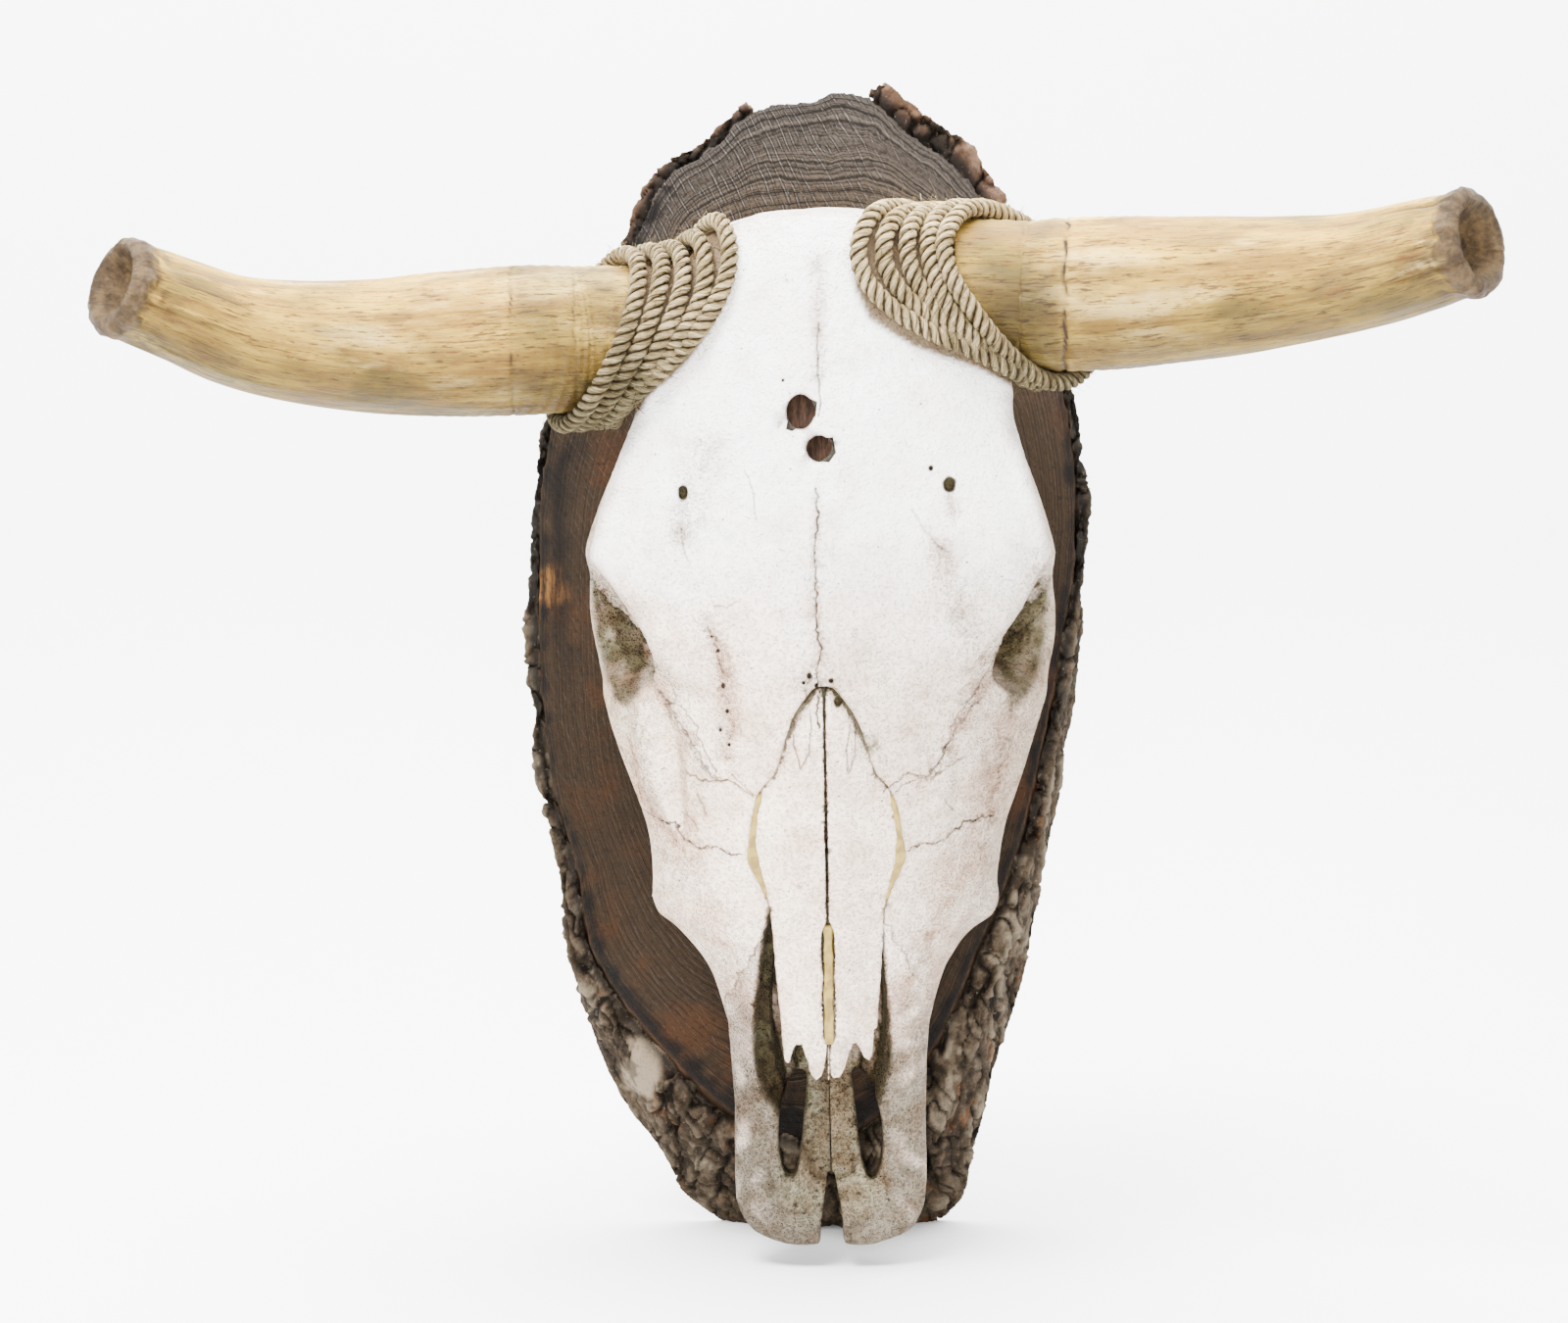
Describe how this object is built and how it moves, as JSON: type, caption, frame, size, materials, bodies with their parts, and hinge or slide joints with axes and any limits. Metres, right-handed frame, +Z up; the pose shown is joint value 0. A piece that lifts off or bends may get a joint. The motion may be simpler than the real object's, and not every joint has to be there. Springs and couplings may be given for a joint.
{
  "type": "cattle skull wall plaque",
  "caption": "Life-size weathered cattle skull with rope-lashed horns, nose down on a live-edge log slab, as a wall-hung display piece",
  "frame": {"origin": "the centre of the slab's flat back, which goes against the wall, 0.3 m above the slab's foot before the foot was sawn level", "axes": "+Z up along the plaque, +Y into the wall, +X to the viewer's right along the horns"},
  "size_m": [0.698, 0.3285, 0.6604],
  "materials": {
    "bone": "bleached bone, chalky matte with fine pores",
    "bone_weathered": "grey-green weathered bone, speckled, matte",
    "glue": "set amber glue, semi-gloss",
    "horn": "dry straw-coloured horn, fibrous satin",
    "rope": "twisted natural fibre, fuzzy",
    "slab_wood": "dark rough-sawn wood",
    "bark": "grey-brown fissured bark",
    "block_wood": "rough-sawn wood"
  },
  "bodies": {
    "root": {"cranium": "bone", "maxilla_left": "bone", "maxilla_right": "bone", "premaxilla_left": "bone_weathered", "premaxilla_right": "bone_weathered", "nasal_left": "bone", "nasal_right": "bone", "glue_left": "glue", "glue_mid": "glue", "glue_right": "glue", "horn_left": "horn", "horn_right": "horn", "rope_left": "rope", "rope_right": "rope", "slab_wood": "slab_wood", "bark_top_right": "bark", "bark_right": "bark", "bark_low_right": "bark", "bark_foot": "bark", "bark_low_left": "bark", "bark_left": "bark", "bark_top_left": "bark", "mount_block": "block_wood"}
  },
  "joints": []
}
